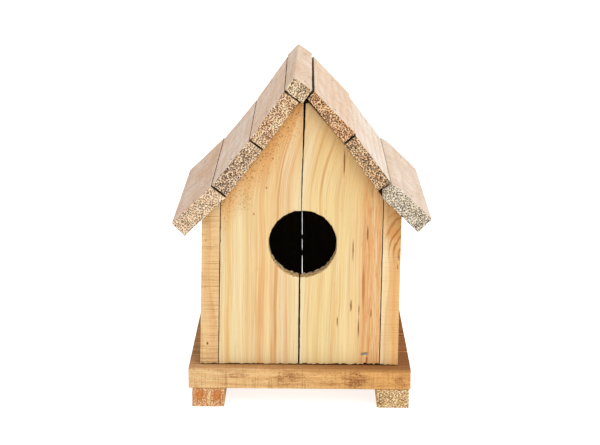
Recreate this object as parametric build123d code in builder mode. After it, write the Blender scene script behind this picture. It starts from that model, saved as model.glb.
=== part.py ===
"""Wooden birdhouse: a nailed box of rough pine boards on a slatted base with two runners.

Frame: +X to the right seen from the front, +Y to the back, +Z up. The origin is on the ground, under the
middle of the overall box. All sizes are in millimetres and all angles in degrees.
"""
import os
from math import cos, hypot, radians, sin, tan

from build123d import *

os.makedirs("parts", exist_ok=True)

# Runners and base slats
RUNNER_WIDTH = 23.2
RUNNER_HEIGHT = 14.0
RUNNER_INSET_LEFT = 2.6     # from the slats' ends to the runner
RUNNER_INSET_RIGHT = 1.0
SLAT_COUNT = 4
SLAT_THICKNESS = 15.2
SLAT_GAP = 0.5
BASE_LEFT_OVERHANG = 7.9    # past the side walls
BASE_RIGHT_OVERHANG = 9.1
BASE_FRONT_OVERHANG = 9.1   # past the front wall
BASE_BACK_OVERHANG = 8.4    # past the back wall

# Body: a box of upright boards
BODY_WIDTH = 143.0          # over the side walls, at the base
BODY_DEPTH = 152.0          # over the front and back walls
WALL_HEIGHT = 119.4         # from the base to the gable's left corner
FRONT_THICKNESS = 12.7
BACK_THICKNESS = 12.7
SIDE_THICKNESS = 13.1
SIDE_BOARD_GAP = 0.4
LEAN_LEFT = 1.0             # the walls and the middle joints all lean a little to the right
LEAN_RIGHT = 0.35
LEAN_FRONT_JOINT = 0.9
LEAN_BACK_JOINT = -0.4
FRONT_JOINT_X = -1.4        # middle of the front joint at the base
BACK_JOINT_X = 0.7
FRONT_JOINT_GAP = 1.0
BACK_JOINT_GAP = 0.8
CORNER_GAP = 0.4            # between the front or back boards and the side walls
FOOT_GAP = 0.5              # under the front and back boards
SIDE_FOOT_GAP = 0.3

# Floor inside the walls
FLOOR_THICKNESS = 12.7
FLOOR_GAP = 0.4
FLOOR_END_GAP = 0.2         # between the floor and the side walls

# Entrance hole, bored through both front boards
HOLE_RADIUS = 24.1
HOLE_X = 0.8
HOLE_HEIGHT = 90.1          # centre above the base

# Roof boards, seen from the front: pitch, thickness at the upper and lower edge, how far the front end
# stands past the front wall, and how far the back end stands past the back wall
LEFT_UPPER = dict(pitch=54.2, upper=12.9, lower=12.4, front=8.7, back=16.0)
LEFT_MIDDLE = dict(pitch=52.5, upper=12.2, lower=13.4, front=8.1, back=16.6)
LEFT_EAVE = dict(pitch=43.8, upper=13.5, lower=13.2, front=9.2, back=24.0)
RIGHT_UPPER = dict(pitch=51.0, upper=7.4, lower=11.2, front=8.0, back=20.0)
RIGHT_MIDDLE = dict(pitch=54.2, upper=10.4, lower=11.4, front=8.7, back=12.0)
RIGHT_EAVE = dict(pitch=44.0, upper=13.9, lower=14.0, front=9.2, back=16.0)
RIDGE_WIDTH = 11.5          # ridge strip, up the left slope, at its front end
RIDGE_BACK_WIDTH = 12.6     # and at its back end
RIDGE_BACK_PITCH = 46.0     # its left face leans over towards the back
RIDGE_THICKNESS = 15.4
RIDGE_FRONT = 9.4
RIDGE_BACK = 25.0
RIDGE_LAP = 4.6             # the right upper board meets the strip's side this far above its lower corner
RIDGE_LEFT_EDGE = 2.4       # the left upper board's lower corner, left of the roof's middle
LEFT_EAVE_OVERHANG = 18.8   # past the side walls
RIGHT_EAVE_OVERHANG = 21.4
EAVE_JOINT_INSET = 4.6      # the lowest roof joint is this far inside the side wall
ROOF_GAP = 0.5              # between roof boards
RIGHT_EAVE_DROP = 5.6       # extra step from the right middle board down to its eaves board
TIP_GAP = 1.2               # the gable's tip is cut off flat this far under the ridge strip
RIGHT_GABLE_SLACK = 2.4     # the right gable edge falls away from the upper board by this angle
RIGHT_BEVEL = 42.0          # bevel on top of the right side wall
EDGE_EASE = 0.5             # worn long edges of the rough boards

# Flat-wire brads and staples
WIRE_WIDTH = 1.2
WIRE_THICKNESS = 1.0
BRAD_LENGTH = 25.0
BRAD_HEAD_WIDTH = 2.0
BRAD_HEAD_DEPTH = 1.0
STAPLE_CROWN = 5.2
STAPLE_LENGTH = 25.0
FRONT_STAPLE_INSET = 24.2   # from the body's right side
BACK_STAPLE_INSET = 25.5    # from the body's sides
FRONT_STAPLE_HEIGHT = 8.6   # above the base
FRONT_STAPLE_TILT = 10.0
BACK_STAPLE_TILT = -6.0
WALL_BRAD_RISE = 32.0       # from the base to a wall's lower brads
WALL_BRAD_DROP = 23.4       # from the gable's left corner to its upper ones
BASE_BRAD_COVER = 4.2       # wood left under the points of the brads in the runners
FLOOR_BRAD_COVER = 2.9      # and of those in the floor
BRAD_PAIR = 9.0             # half the distance between the two brads of a pair
FLOOR_BRAD_OFFSET = 10.0    # behind the middle of each floor slat, clear of the joints under it
RIDGE_BRAD_DEPTH = 9.0      # from the strip's outer left face to its brads
RIDGE_BRAD_SINK = 0.8       # their heads are driven under the surface

# Heights and depths that follow
base_top = RUNNER_HEIGHT + SLAT_THICKNESS
floor_top = base_top + FLOOR_THICKNESS
base_depth = BODY_DEPTH + BASE_FRONT_OVERHANG + BASE_BACK_OVERHANG
slat_width = (base_depth - (SLAT_COUNT - 1) * SLAT_GAP) / SLAT_COUNT
front_y = RIDGE_FRONT - (BODY_DEPTH + RIDGE_FRONT + RIDGE_BACK) / 2
back_y = front_y + BODY_DEPTH
base_y = front_y - BASE_FRONT_OVERHANG
body_middle = (LEFT_EAVE_OVERHANG - RIGHT_EAVE_OVERHANG) / 2
body_left = body_middle - BODY_WIDTH / 2
body_right = body_middle + BODY_WIDTH / 2
roof_edge = body_right + RIGHT_EAVE_OVERHANG    # the eaves reach as far to the left
base_left = body_left - BASE_LEFT_OVERHANG
base_right = body_right + BASE_RIGHT_OVERHANG
inner_depth = BODY_DEPTH - FRONT_THICKNESS - BACK_THICKNESS


def leaning(x, lean, z):
    """X at height z of a line that stands on the base at x and leans to the right."""
    return x + tan(radians(lean)) * (z - base_top)


def left_inner(z):
    return leaning(body_left + SIDE_THICKNESS / cos(radians(LEAN_LEFT)), LEAN_LEFT, z)


def right_inner(z):
    return leaning(body_right - SIDE_THICKNESS / cos(radians(LEAN_RIGHT)), LEAN_RIGHT, z)


def down_slope(side, pitch):
    """Unit step down a roof slope in X and Z; side is -1 on the left and 1 on the right."""
    return side * cos(radians(pitch)), -sin(radians(pitch))


def outward(side, pitch):
    """Unit normal that points out of a roof slope."""
    return side * sin(radians(pitch)), cos(radians(pitch))


def step(point, direction, distance):
    return point[0] + direction[0] * distance, point[1] + direction[1] * distance


def crossing(point, direction, other, other_direction):
    """Where two lines cross."""
    across = (other[0] - point[0]) * other_direction[1] - (other[1] - point[1]) * other_direction[0]
    turn = direction[0] * other_direction[1] - direction[1] * other_direction[0]
    return step(point, direction, across / turn)


def meet(x, lean, point, pitch, side):
    """Where a leaning line that stands on the base at x meets a roof line through a point."""
    return crossing((x, base_top), (tan(radians(lean)), 1), point, down_slope(side, pitch))


def reach(point, board, side):
    """Width that takes a board from its upper corner out to the eaves."""
    edge = side * outward(side, board["pitch"])[0] * board["lower"]
    return (roof_edge - edge - side * point[0]) / cos(radians(board["pitch"]))


def board_quad(side, board, corner, width, upper_cut):
    """Corners of a roof board's end: lower face first, then the outer face."""
    lower_in = step(corner, down_slope(side, board["pitch"]), width)
    lower_out = step(lower_in, outward(side, board["pitch"]), board["lower"])
    upper_out = step(corner, outward(side, upper_cut), board["upper"])
    return corner, lower_in, lower_out, upper_out


# Left slope, from the wall up: the lower corners of its boards on the gable
gable_corner_z = base_top + WALL_HEIGHT
left_wall_top = left_inner(gable_corner_z)
left_joint_2 = (
    left_wall_top + EAVE_JOINT_INSET,
    gable_corner_z + EAVE_JOINT_INSET * tan(radians(LEFT_MIDDLE["pitch"])),
)
left_width = (-RIDGE_LEFT_EDGE - left_joint_2[0]) / (
    cos(radians(LEFT_UPPER["pitch"])) + cos(radians(LEFT_MIDDLE["pitch"]))
)
left_joint_1 = step(left_joint_2, down_slope(-1, LEFT_MIDDLE["pitch"]), -left_width)
left_joint_0 = step(left_joint_1, down_slope(-1, LEFT_UPPER["pitch"]), -left_width)

# Ridge strip, on the left upper board's top edge
uphill = down_slope(-1, LEFT_UPPER["pitch"])
uphill = (-uphill[0], -uphill[1])
inward = outward(-1, LEFT_UPPER["pitch"])
inward = (-inward[0], -inward[1])
strip_left = step(step(left_joint_0, inward, -LEFT_UPPER["upper"]), uphill, ROOF_GAP)
strip_bottom = step(strip_left, inward, RIDGE_THICKNESS)

# Right slope, from the strip down
right_joint_0 = step(step(strip_bottom, uphill, RIDGE_LAP), inward, ROOF_GAP)
right_wall_x = right_inner(gable_corner_z)
right_joint_2_x = right_wall_x - EAVE_JOINT_INSET
right_width = (right_joint_2_x - right_joint_0[0]) / (
    cos(radians(RIGHT_UPPER["pitch"])) + cos(radians(RIGHT_MIDDLE["pitch"]))
)
right_joint_1 = step(right_joint_0, down_slope(1, RIGHT_UPPER["pitch"]), right_width)
right_joint_2 = step(right_joint_1, down_slope(1, RIGHT_MIDDLE["pitch"]), right_width)
right_eave_corner = step(right_joint_2, down_slope(1, RIGHT_MIDDLE["pitch"]), RIGHT_EAVE_DROP)


def right_eave_end():
    """The right eaves board sits lower: its upper edge fits its neighbour, and its inner corner is cut off."""
    pitch = RIGHT_EAVE["pitch"]
    corner, lower_in, lower_out, upper_out = board_quad(1, RIGHT_EAVE, right_eave_corner, right_eave_width, pitch)
    edge = step(right_joint_2, down_slope(1, RIGHT_MIDDLE["pitch"]), ROOF_GAP / 2)
    edge_direction = outward(1, RIGHT_MIDDLE["pitch"])
    upper_out = crossing(upper_out, down_slope(1, pitch), edge, edge_direction)
    trim = crossing(corner, (0, 1), edge, edge_direction)
    return corner, lower_in, lower_out, upper_out, trim


# Ends of the six roof boards
left_eave_width = reach(left_joint_2, LEFT_EAVE, -1)
right_eave_width = reach(right_eave_corner, RIGHT_EAVE, 1)
roof_quads = {
    "roof_left_upper": board_quad(-1, LEFT_UPPER, left_joint_0, left_width - ROOF_GAP, LEFT_UPPER["pitch"]),
    "roof_left_middle": board_quad(-1, LEFT_MIDDLE, left_joint_1, left_width - ROOF_GAP, LEFT_UPPER["pitch"]),
    "roof_left_eave": board_quad(-1, LEFT_EAVE, left_joint_2, left_eave_width, LEFT_MIDDLE["pitch"]),
    "roof_right_upper": board_quad(1, RIGHT_UPPER, right_joint_0, right_width - ROOF_GAP, RIGHT_UPPER["pitch"]),
    "roof_right_middle": board_quad(1, RIGHT_MIDDLE, right_joint_1, right_width - ROOF_GAP, RIGHT_UPPER["pitch"]),
    "roof_right_eave": right_eave_end(),
}
roof_boards = {
    "roof_left_upper": LEFT_UPPER,
    "roof_left_middle": LEFT_MIDDLE,
    "roof_left_eave": LEFT_EAVE,
    "roof_right_upper": RIGHT_UPPER,
    "roof_right_middle": RIGHT_MIDDLE,
    "roof_right_eave": RIGHT_EAVE,
}


def across_plane(y):
    """Upright plane at depth y, with its X to the right and its Y up."""
    return Plane(origin=(0, y, 0), x_dir=(1, 0, 0), z_dir=(0, -1, 0))


# Fasteners: flat-wire pieces. The wood is cut with the same solids, so each one fills its own hole.
def brad_shape(length):
    with BuildPart(mode=Mode.PRIVATE) as brad:
        with BuildSketch():
            Rectangle(WIRE_WIDTH, WIRE_THICKNESS)
        extrude(amount=-length)
        with BuildSketch():
            Rectangle(BRAD_HEAD_WIDTH, WIRE_THICKNESS)
        extrude(amount=-BRAD_HEAD_DEPTH)
    return brad.part


def staple_shape():
    with BuildPart(mode=Mode.PRIVATE) as staple:
        with BuildSketch():
            Rectangle(STAPLE_CROWN, WIRE_WIDTH)
        extrude(amount=-WIRE_THICKNESS)
        with BuildSketch():
            with GridLocations(STAPLE_CROWN - WIRE_THICKNESS, 0, 2, 1):
                Rectangle(WIRE_THICKNESS, WIRE_WIDTH)
        extrude(amount=-STAPLE_LENGTH)
    return staple.part


def driven(shape, planes):
    """The same fastener driven in at each plane: the plane's Z points out of the wood."""
    return [plane.location * shape for plane in planes]


def into_wall(side, y, height):
    """Plane on a side wall's outer face."""
    z = base_top + height
    lean = LEAN_LEFT if side < 0 else LEAN_RIGHT
    x = leaning(body_left if side < 0 else body_right, lean, z)
    normal = (side * cos(radians(lean)), 0, -side * sin(radians(lean)))
    return Plane(origin=(x, y, z), x_dir=(0, 1, 0), z_dir=normal)


def into_roof(name, y):
    """Plane in the middle of a roof board's outer face."""
    lower_out, upper_out = roof_quads[name][2:4]
    rise = upper_out[1] - lower_out[1]
    run = upper_out[0] - lower_out[0]
    length = hypot(rise, run)
    side = -1 if run > 0 else 1
    normal = (side * rise / length, 0, abs(run) / length)
    middle = ((upper_out[0] + lower_out[0]) / 2, y, (upper_out[1] + lower_out[1]) / 2)
    return Plane(origin=middle, x_dir=(0, 1, 0), z_dir=normal)


def into_ridge(y):
    """Plane on the strip's long right face, square to the way down the left slope."""
    along = (y - ridge_front_y) / ridge_length
    width = RIDGE_WIDTH + (RIDGE_BACK_WIDTH - RIDGE_WIDTH) * along - RIDGE_BRAD_SINK
    x, z = step(step(strip_left, inward, RIDGE_BRAD_DEPTH), uphill, width)
    return Plane(origin=(x, y, z), x_dir=(0, 1, 0), z_dir=(uphill[0], 0, uphill[1]))


ridge_front_y = front_y - RIDGE_FRONT
ridge_length = BODY_DEPTH + RIDGE_FRONT + RIDGE_BACK
places = ("front", "middle", "rear")    # of the boards in a side wall and in the floor
side_board_width = (BODY_DEPTH - (len(places) - 1) * SIDE_BOARD_GAP) / len(places)
floor_slat_width = (inner_depth - (len(places) - 1) * FLOOR_GAP) / len(places)
front_wall_middle = front_y + FRONT_THICKNESS / 2
back_wall_middle = back_y - BACK_THICKNESS / 2
floor_middle = FLOOR_THICKNESS / 2
gable_ys = (front_wall_middle, back_wall_middle)
floor_ys = [
    front_y + FRONT_THICKNESS + floor_slat_width / 2 + i * (floor_slat_width + FLOOR_GAP)
    for i in range(len(places))
]
slat_ys = [base_y + slat_width / 2 + i * (slat_width + SLAT_GAP) for i in range(SLAT_COUNT)]
runner_xs = (
    base_left + RUNNER_INSET_LEFT + RUNNER_WIDTH / 2,
    base_right - RUNNER_INSET_RIGHT - RUNNER_WIDTH / 2,
)

brad = brad_shape(BRAD_LENGTH)
base_brad = brad_shape(SLAT_THICKNESS + RUNNER_HEIGHT - BASE_BRAD_COVER)
floor_brad = brad_shape(FLOOR_THICKNESS + SLAT_THICKNESS - FLOOR_BRAD_COVER)
staple = staple_shape()

front_staple_plane = Plane(
    origin=(body_right - FRONT_STAPLE_INSET, front_y, base_top + FRONT_STAPLE_HEIGHT),
    x_dir=(cos(radians(FRONT_STAPLE_TILT)), 0, sin(radians(FRONT_STAPLE_TILT))),
    z_dir=(0, -1, 0),
)
back_staple_planes = [
    Plane(
        origin=(x, back_y, base_top + floor_middle),
        x_dir=(cos(radians(BACK_STAPLE_TILT)), 0, sin(radians(BACK_STAPLE_TILT))),
        z_dir=(0, 1, 0),
    )
    for x in (body_left + BACK_STAPLE_INSET, body_right - BACK_STAPLE_INSET)
]
fasteners = {
    "front_staple": driven(staple, [front_staple_plane]),
    "back_staples": driven(staple, back_staple_planes),
    "roof_brads_left": driven(brad, [into_roof(n, y) for n in roof_quads if "left" in n for y in gable_ys]),
    "roof_brads_right": driven(brad, [into_roof(n, y) for n in roof_quads if "right" in n for y in gable_ys]),
    "ridge_brads": driven(brad, [into_ridge(y) for y in gable_ys]),
    "base_brads": driven(
        base_brad,
        [
            Plane(origin=(x, y + offset, base_top), x_dir=(1, 0, 0), z_dir=(0, 0, 1))
            for x in runner_xs
            for y in slat_ys
            for offset in (-BRAD_PAIR, BRAD_PAIR)
        ],
    ),
    "floor_brads": driven(
        floor_brad,
        [
            Plane(origin=(body_middle + x, y + FLOOR_BRAD_OFFSET, floor_top), x_dir=(1, 0, 0), z_dir=(0, 0, 1))
            for y in floor_ys
            for x in (-BODY_WIDTH / 4, BODY_WIDTH / 4)
        ],
    ),
}
for side, name in ((-1, "side_brads_left"), (1, "side_brads_right")):
    heights = (WALL_BRAD_RISE, WALL_HEIGHT - WALL_BRAD_DROP)
    wall_planes = [into_wall(side, y, height) for y in gable_ys for height in heights]
    floor_planes = [into_wall(side, y, floor_middle) for y in floor_ys]
    fasteners[name] = driven(brad, wall_planes + floor_planes)


def finish(board, name):
    """Label a piece and write it."""
    board.part.label = name
    export_step(board.part, f"parts/{name}.step")


def make_fasteners():
    for name, pieces in fasteners.items():
        with BuildPart() as group:
            for piece in pieces:
                add(piece)
        finish(group, name)


def make_runners():
    """Two square sticks under the slats, from front to back."""
    for name, x in zip(("runner_left", "runner_right"), runner_xs):
        with BuildPart() as runner:
            with BuildSketch(across_plane(base_y)):
                with Locations((x, RUNNER_HEIGHT / 2)):
                    Rectangle(RUNNER_WIDTH, RUNNER_HEIGHT)
            extrude(amount=-base_depth)
            fillet(runner.edges().filter_by(Axis.Y), EDGE_EASE)
            for piece in fasteners["base_brads"]:
                add(piece, mode=Mode.SUBTRACT)
        finish(runner, name)


def make_base_slats():
    """Rough slats side by side, from left to right over both runners."""
    for i, y in enumerate(slat_ys):
        with BuildPart() as slat:
            with BuildSketch(Plane.XY.offset(RUNNER_HEIGHT)):
                with Locations(((base_left + base_right) / 2, y)):
                    Rectangle(base_right - base_left, slat_width)
            extrude(amount=SLAT_THICKNESS)
            fillet(slat.edges().filter_by(Axis.X), EDGE_EASE)
            for piece in fasteners["base_brads"] + fasteners["floor_brads"]:
                add(piece, mode=Mode.SUBTRACT)
        finish(slat, f"base_slat_{i + 1}")


def make_floor():
    """Slats that close the box's bottom and that the walls are nailed to."""
    left = left_inner(base_top) + FLOOR_END_GAP + tan(radians(LEAN_LEFT)) * FLOOR_THICKNESS
    right = right_inner(base_top) - FLOOR_END_GAP
    for name, y in zip(places, floor_ys):
        with BuildPart() as slat:
            with BuildSketch(Plane.XY.offset(base_top)):
                with Locations(((left + right) / 2, y)):
                    Rectangle(right - left, floor_slat_width)
            extrude(amount=FLOOR_THICKNESS)
            for group in ("floor_brads", "front_staple", "back_staples", "side_brads_left", "side_brads_right"):
                for piece in fasteners[group]:
                    add(piece, mode=Mode.SUBTRACT)
        finish(slat, f"floor_slat_{name}")


def side_wall_outline(side):
    """End of a side wall: upright and leaning, with its top bevelled to the eaves board."""
    if side < 0:
        outer, inner, lean = body_left, left_inner(base_top), LEAN_LEFT
        corner, pitch, bevel = left_joint_2, LEFT_EAVE["pitch"], LEFT_EAVE["pitch"]
    else:
        outer, inner, lean = body_right, right_inner(base_top), LEAN_RIGHT
        corner, pitch, bevel = right_eave_corner, RIGHT_EAVE["pitch"], RIGHT_BEVEL
    foot = base_top + SIDE_FOOT_GAP
    outer_top = meet(outer, lean, corner, pitch, side)
    inner_top = meet(inner, lean, outer_top, bevel, side)
    return [(leaning(outer, lean, foot), foot), (leaning(inner, lean, foot), foot), inner_top, outer_top]


def make_side_walls():
    """Three upright boards in each side wall, front to back."""
    for side, wall in ((-1, "left"), (1, "right")):
        for i, place in enumerate(places):
            y = front_y + i * (side_board_width + SIDE_BOARD_GAP)
            with BuildPart() as board:
                with BuildSketch(across_plane(y)):
                    with BuildLine():
                        Polyline(*side_wall_outline(side), close=True)
                    make_face()
                extrude(amount=-side_board_width)
                for group in (f"side_brads_{wall}", f"roof_brads_{wall}"):
                    for piece in fasteners[group]:
                        add(piece, mode=Mode.SUBTRACT)
            finish(board, f"side_{wall}_{place}")


def gable_outlines(joint_x, joint_lean, joint_gap):
    """Outlines of the left and right upright boards of the front or back wall, seen from the front."""
    foot = base_top + FOOT_GAP
    tip_z = strip_bottom[1] - TIP_GAP

    def joint_edge(side, z):
        return leaning(joint_x, joint_lean, z) + side * joint_gap / 2

    left_x = left_inner(base_top) + CORNER_GAP
    right_x = right_inner(base_top) - CORNER_GAP
    left_tip_x = left_joint_0[0] - (left_joint_0[1] - tip_z) / tan(radians(LEFT_UPPER["pitch"]))
    left = [
        (leaning(left_x, LEAN_LEFT, foot), foot),
        (joint_edge(-1, foot), foot),
        (joint_edge(-1, tip_z), tip_z),
        (left_tip_x, tip_z),
        left_joint_1,
        meet(left_x, LEAN_LEFT, left_joint_2, LEFT_MIDDLE["pitch"], -1),
    ]
    slack_pitch = RIGHT_UPPER["pitch"] - RIGHT_GABLE_SLACK
    right_tip_x = right_joint_1[0] - (tip_z - right_joint_1[1]) / tan(radians(slack_pitch))
    right = [
        (joint_edge(1, foot), foot),
        (leaning(right_x, LEAN_RIGHT, foot), foot),
        meet(right_x, LEAN_RIGHT, right_joint_2, RIGHT_MIDDLE["pitch"], 1),
        right_joint_1,
        (right_tip_x, tip_z),
        (joint_edge(1, tip_z), tip_z),
    ]
    return left, right


def make_front_boards():
    """Two planed boards with the entrance hole bored through both."""
    outlines = gable_outlines(FRONT_JOINT_X, LEAN_FRONT_JOINT, FRONT_JOINT_GAP)
    for name, outline in zip(("left", "right"), outlines):
        with BuildPart() as board:
            with BuildSketch(across_plane(front_y)):
                with BuildLine():
                    Polyline(*outline, close=True)
                make_face()
                with Locations((HOLE_X, base_top + HOLE_HEIGHT)):
                    Circle(HOLE_RADIUS, mode=Mode.SUBTRACT)
            extrude(amount=-FRONT_THICKNESS)
            for group in ("front_staple", "roof_brads_left", "roof_brads_right", "side_brads_left",
                          "side_brads_right"):
                for piece in fasteners[group]:
                    add(piece, mode=Mode.SUBTRACT)
        finish(board, f"front_board_{name}")


def make_back_boards():
    """Two plain boards with a thin gap between them."""
    outlines = gable_outlines(BACK_JOINT_X, LEAN_BACK_JOINT, BACK_JOINT_GAP)
    for name, outline in zip(("left", "right"), outlines):
        with BuildPart() as board:
            with BuildSketch(across_plane(back_y - BACK_THICKNESS)):
                with BuildLine():
                    Polyline(*outline, close=True)
                make_face()
            extrude(amount=-BACK_THICKNESS)
            for group in ("back_staples", "roof_brads_left", "roof_brads_right", "side_brads_left",
                          "side_brads_right"):
                for piece in fasteners[group]:
                    add(piece, mode=Mode.SUBTRACT)
        finish(board, f"back_board_{name}")


def make_roof_boards():
    """Rough-sawn boards from front to back, three down each slope."""
    for name, quad in roof_quads.items():
        board_sizes = roof_boards[name]
        side = "left" if "left" in name else "right"
        with BuildPart() as board:
            with BuildSketch(across_plane(front_y - board_sizes["front"])):
                with BuildLine():
                    Polyline(*quad, close=True)
                make_face()
            extrude(amount=-(board_sizes["front"] + BODY_DEPTH + board_sizes["back"]))
            fillet(board.edges().filter_by(Axis.Y), EDGE_EASE)
            for piece in fasteners[f"roof_brads_{side}"] + fasteners["ridge_brads"]:
                add(piece, mode=Mode.SUBTRACT)
        finish(board, name)


def make_ridge_strip():
    """A hewn stick along the ridge, with a face that leans over and widens towards the back."""
    leaning_face = step((0, 0), down_slope(-1, RIDGE_BACK_PITCH), -1)
    ends = (
        (ridge_front_y, RIDGE_WIDTH, uphill),
        (ridge_front_y + ridge_length, RIDGE_BACK_WIDTH, leaning_face),
    )
    with BuildPart() as strip:
        for y, width, left_face in ends:
            with BuildSketch(across_plane(y)):
                with BuildLine():
                    Polyline(
                        strip_left,
                        strip_bottom,
                        step(strip_bottom, uphill, width),
                        step(strip_left, left_face, width),
                        close=True,
                    )
                make_face()
        loft()
        for piece in fasteners["ridge_brads"]:
            add(piece, mode=Mode.SUBTRACT)
        for y in gable_ys:
            with BuildSketch(into_ridge(y)):
                Rectangle(BRAD_HEAD_WIDTH, WIRE_THICKNESS)
            extrude(amount=2 * RIDGE_BRAD_SINK, mode=Mode.SUBTRACT)
    finish(strip, "ridge_strip")


make_fasteners()
make_runners()
make_base_slats()
make_floor()
make_side_walls()
make_front_boards()
make_back_boards()
make_roof_boards()
make_ridge_strip()
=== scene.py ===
from math import atan2, cos, pi, radians, sin, tan

import bmesh
import bpy
from mathutils import Matrix, Vector, noise


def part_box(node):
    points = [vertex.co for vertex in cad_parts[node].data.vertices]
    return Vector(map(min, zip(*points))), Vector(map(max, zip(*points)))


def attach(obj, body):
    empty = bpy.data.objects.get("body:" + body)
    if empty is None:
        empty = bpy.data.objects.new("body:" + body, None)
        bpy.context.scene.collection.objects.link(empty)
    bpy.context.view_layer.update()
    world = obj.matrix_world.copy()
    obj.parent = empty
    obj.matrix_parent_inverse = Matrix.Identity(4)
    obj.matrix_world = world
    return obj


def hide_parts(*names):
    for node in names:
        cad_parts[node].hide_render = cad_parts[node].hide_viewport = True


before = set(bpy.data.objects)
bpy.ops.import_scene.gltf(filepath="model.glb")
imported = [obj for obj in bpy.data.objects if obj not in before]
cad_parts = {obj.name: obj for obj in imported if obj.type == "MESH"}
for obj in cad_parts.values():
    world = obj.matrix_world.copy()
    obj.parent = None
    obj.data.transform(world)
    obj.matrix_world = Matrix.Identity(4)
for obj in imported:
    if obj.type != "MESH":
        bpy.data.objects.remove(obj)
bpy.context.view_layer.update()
scene = bpy.context.scene


# Studio: a white floor that runs out past the view, an even white sky and one broad lamp from the upper
# right in front, as for a product picture. None of it is part of the birdhouse.
CAMERA_PLACE = Vector((0.00156, -1.1997, 0.4045))
CAMERA_TURN = -0.0025       # radians to the right
CAMERA_DIP = 0.2369
CAMERA_ROLL = 0.0073
CAMERA_LENS = 97.34
CAMERA_SENSOR = 36.0
FLOOR_REACH = 15.0
FLOOR_DROP = 0.0001         # the runners stand this little above it
FLOOR_GREY = 0.45
FLOOR_GLOW = 0.80           # its own light, which keeps the shadow under the base faint
WHITE = (1, 1, 1, 1)
SKY_STRENGTH = 1.0
LAMP_FROM = Vector((0.42, -0.62, 0.78))
LAMP_STRENGTH = 2.3
LAMP_WIDTH = 50.0           # degrees of sky that the lamp fills

forward = Vector((sin(CAMERA_TURN) * cos(CAMERA_DIP), cos(CAMERA_TURN) * cos(CAMERA_DIP), -sin(CAMERA_DIP)))
level = Vector((cos(CAMERA_TURN), -sin(CAMERA_TURN), 0))
upright = level.cross(forward)
right = cos(CAMERA_ROLL) * level + sin(CAMERA_ROLL) * upright
up = -sin(CAMERA_ROLL) * level + cos(CAMERA_ROLL) * upright
camera_data = bpy.data.cameras.new("camera")
camera_data.sensor_width = CAMERA_SENSOR
camera_data.lens = CAMERA_LENS
camera_data.clip_start = 0.05
camera_data.clip_end = 60.0
camera = bpy.data.objects.new("camera", camera_data)
turned = Matrix((right, up, -forward)).transposed().to_4x4()
camera.matrix_world = Matrix.Translation(CAMERA_PLACE) @ turned
scene.collection.objects.link(camera)
scene.camera = camera

floor_mesh = bpy.data.meshes.new("studio_floor")
corners = [(x * FLOOR_REACH, y * FLOOR_REACH, -FLOOR_DROP) for x, y in ((-1, -1), (1, -1), (1, 1), (-1, 1))]
floor_mesh.from_pydata(corners, [], [(0, 1, 2, 3)])
floor_paint = bpy.data.materials.new("studio_white")
floor_paint.use_nodes = True
paint_shader = floor_paint.node_tree.nodes["Principled BSDF"]
paint_shader.inputs["Base Color"].default_value = (FLOOR_GREY, FLOOR_GREY, FLOOR_GREY, 1)
paint_shader.inputs["Emission Color"].default_value = WHITE
paint_shader.inputs["Emission Strength"].default_value = FLOOR_GLOW
paint_shader.inputs["Roughness"].default_value = 0.95
paint_shader.inputs["Specular IOR Level"].default_value = 0.0
floor_mesh.materials.append(floor_paint)
studio_floor = bpy.data.objects.new("studio_floor", floor_mesh)
scene.collection.objects.link(studio_floor)

sky = bpy.data.worlds.new("studio_sky")
sky.use_nodes = True
sky.node_tree.nodes["Background"].inputs["Color"].default_value = WHITE
sky.node_tree.nodes["Background"].inputs["Strength"].default_value = SKY_STRENGTH
scene.world = sky
lamp_data = bpy.data.lights.new("studio_lamp", "SUN")
lamp_data.energy = LAMP_STRENGTH
lamp_data.angle = radians(LAMP_WIDTH)
lamp = bpy.data.objects.new("studio_lamp", lamp_data)
lamp.rotation_mode = "QUATERNION"
lamp.rotation_quaternion = LAMP_FROM.to_track_quat("Z", "Y")
scene.collection.objects.link(lamp)
scene.view_settings.view_transform = "Standard"
scene.view_settings.look = "None"


# Runners: two square sticks of rough pine from front to back, nailed under the base slats. The left one shows
# orange heartwood rings on its sawn end, the right one yellow open-pored sapwood.
WHITE_SHARE = 0.70          # base colours are this share of paper white, since the studio light is brighter
MM = 1000                   # millimetres in a metre
PATTERN_STEP = 431.0        # millimetres along the grain from one board's pattern to the next one's
WOOD_SHINE = 0.25
FACE_WAVE = 0.00012         # metres, how deep the faces' slow wave goes
SHARP_EDGE = 35.0           # degrees between faces that still look smooth

X, Y, Z = Vector((1, 0, 0)), Vector((0, 1, 0)), Vector((0, 0, 1))
GRAIN_Y = (X, Z, Y)         # across the board, through it, along its grain
GRAIN_X = (Y, Z, X)


def wood_colour(code):
    """Base colour for a shade seen in the studio light."""
    shades = [int(code[i:i + 2], 16) / 255 for i in (0, 2, 4)]
    return [((s + 0.055) / 1.055) ** 2.4 * WHITE_SHARE if s > 0.04 else s / 12.92 for s in shades] + [1]


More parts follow.
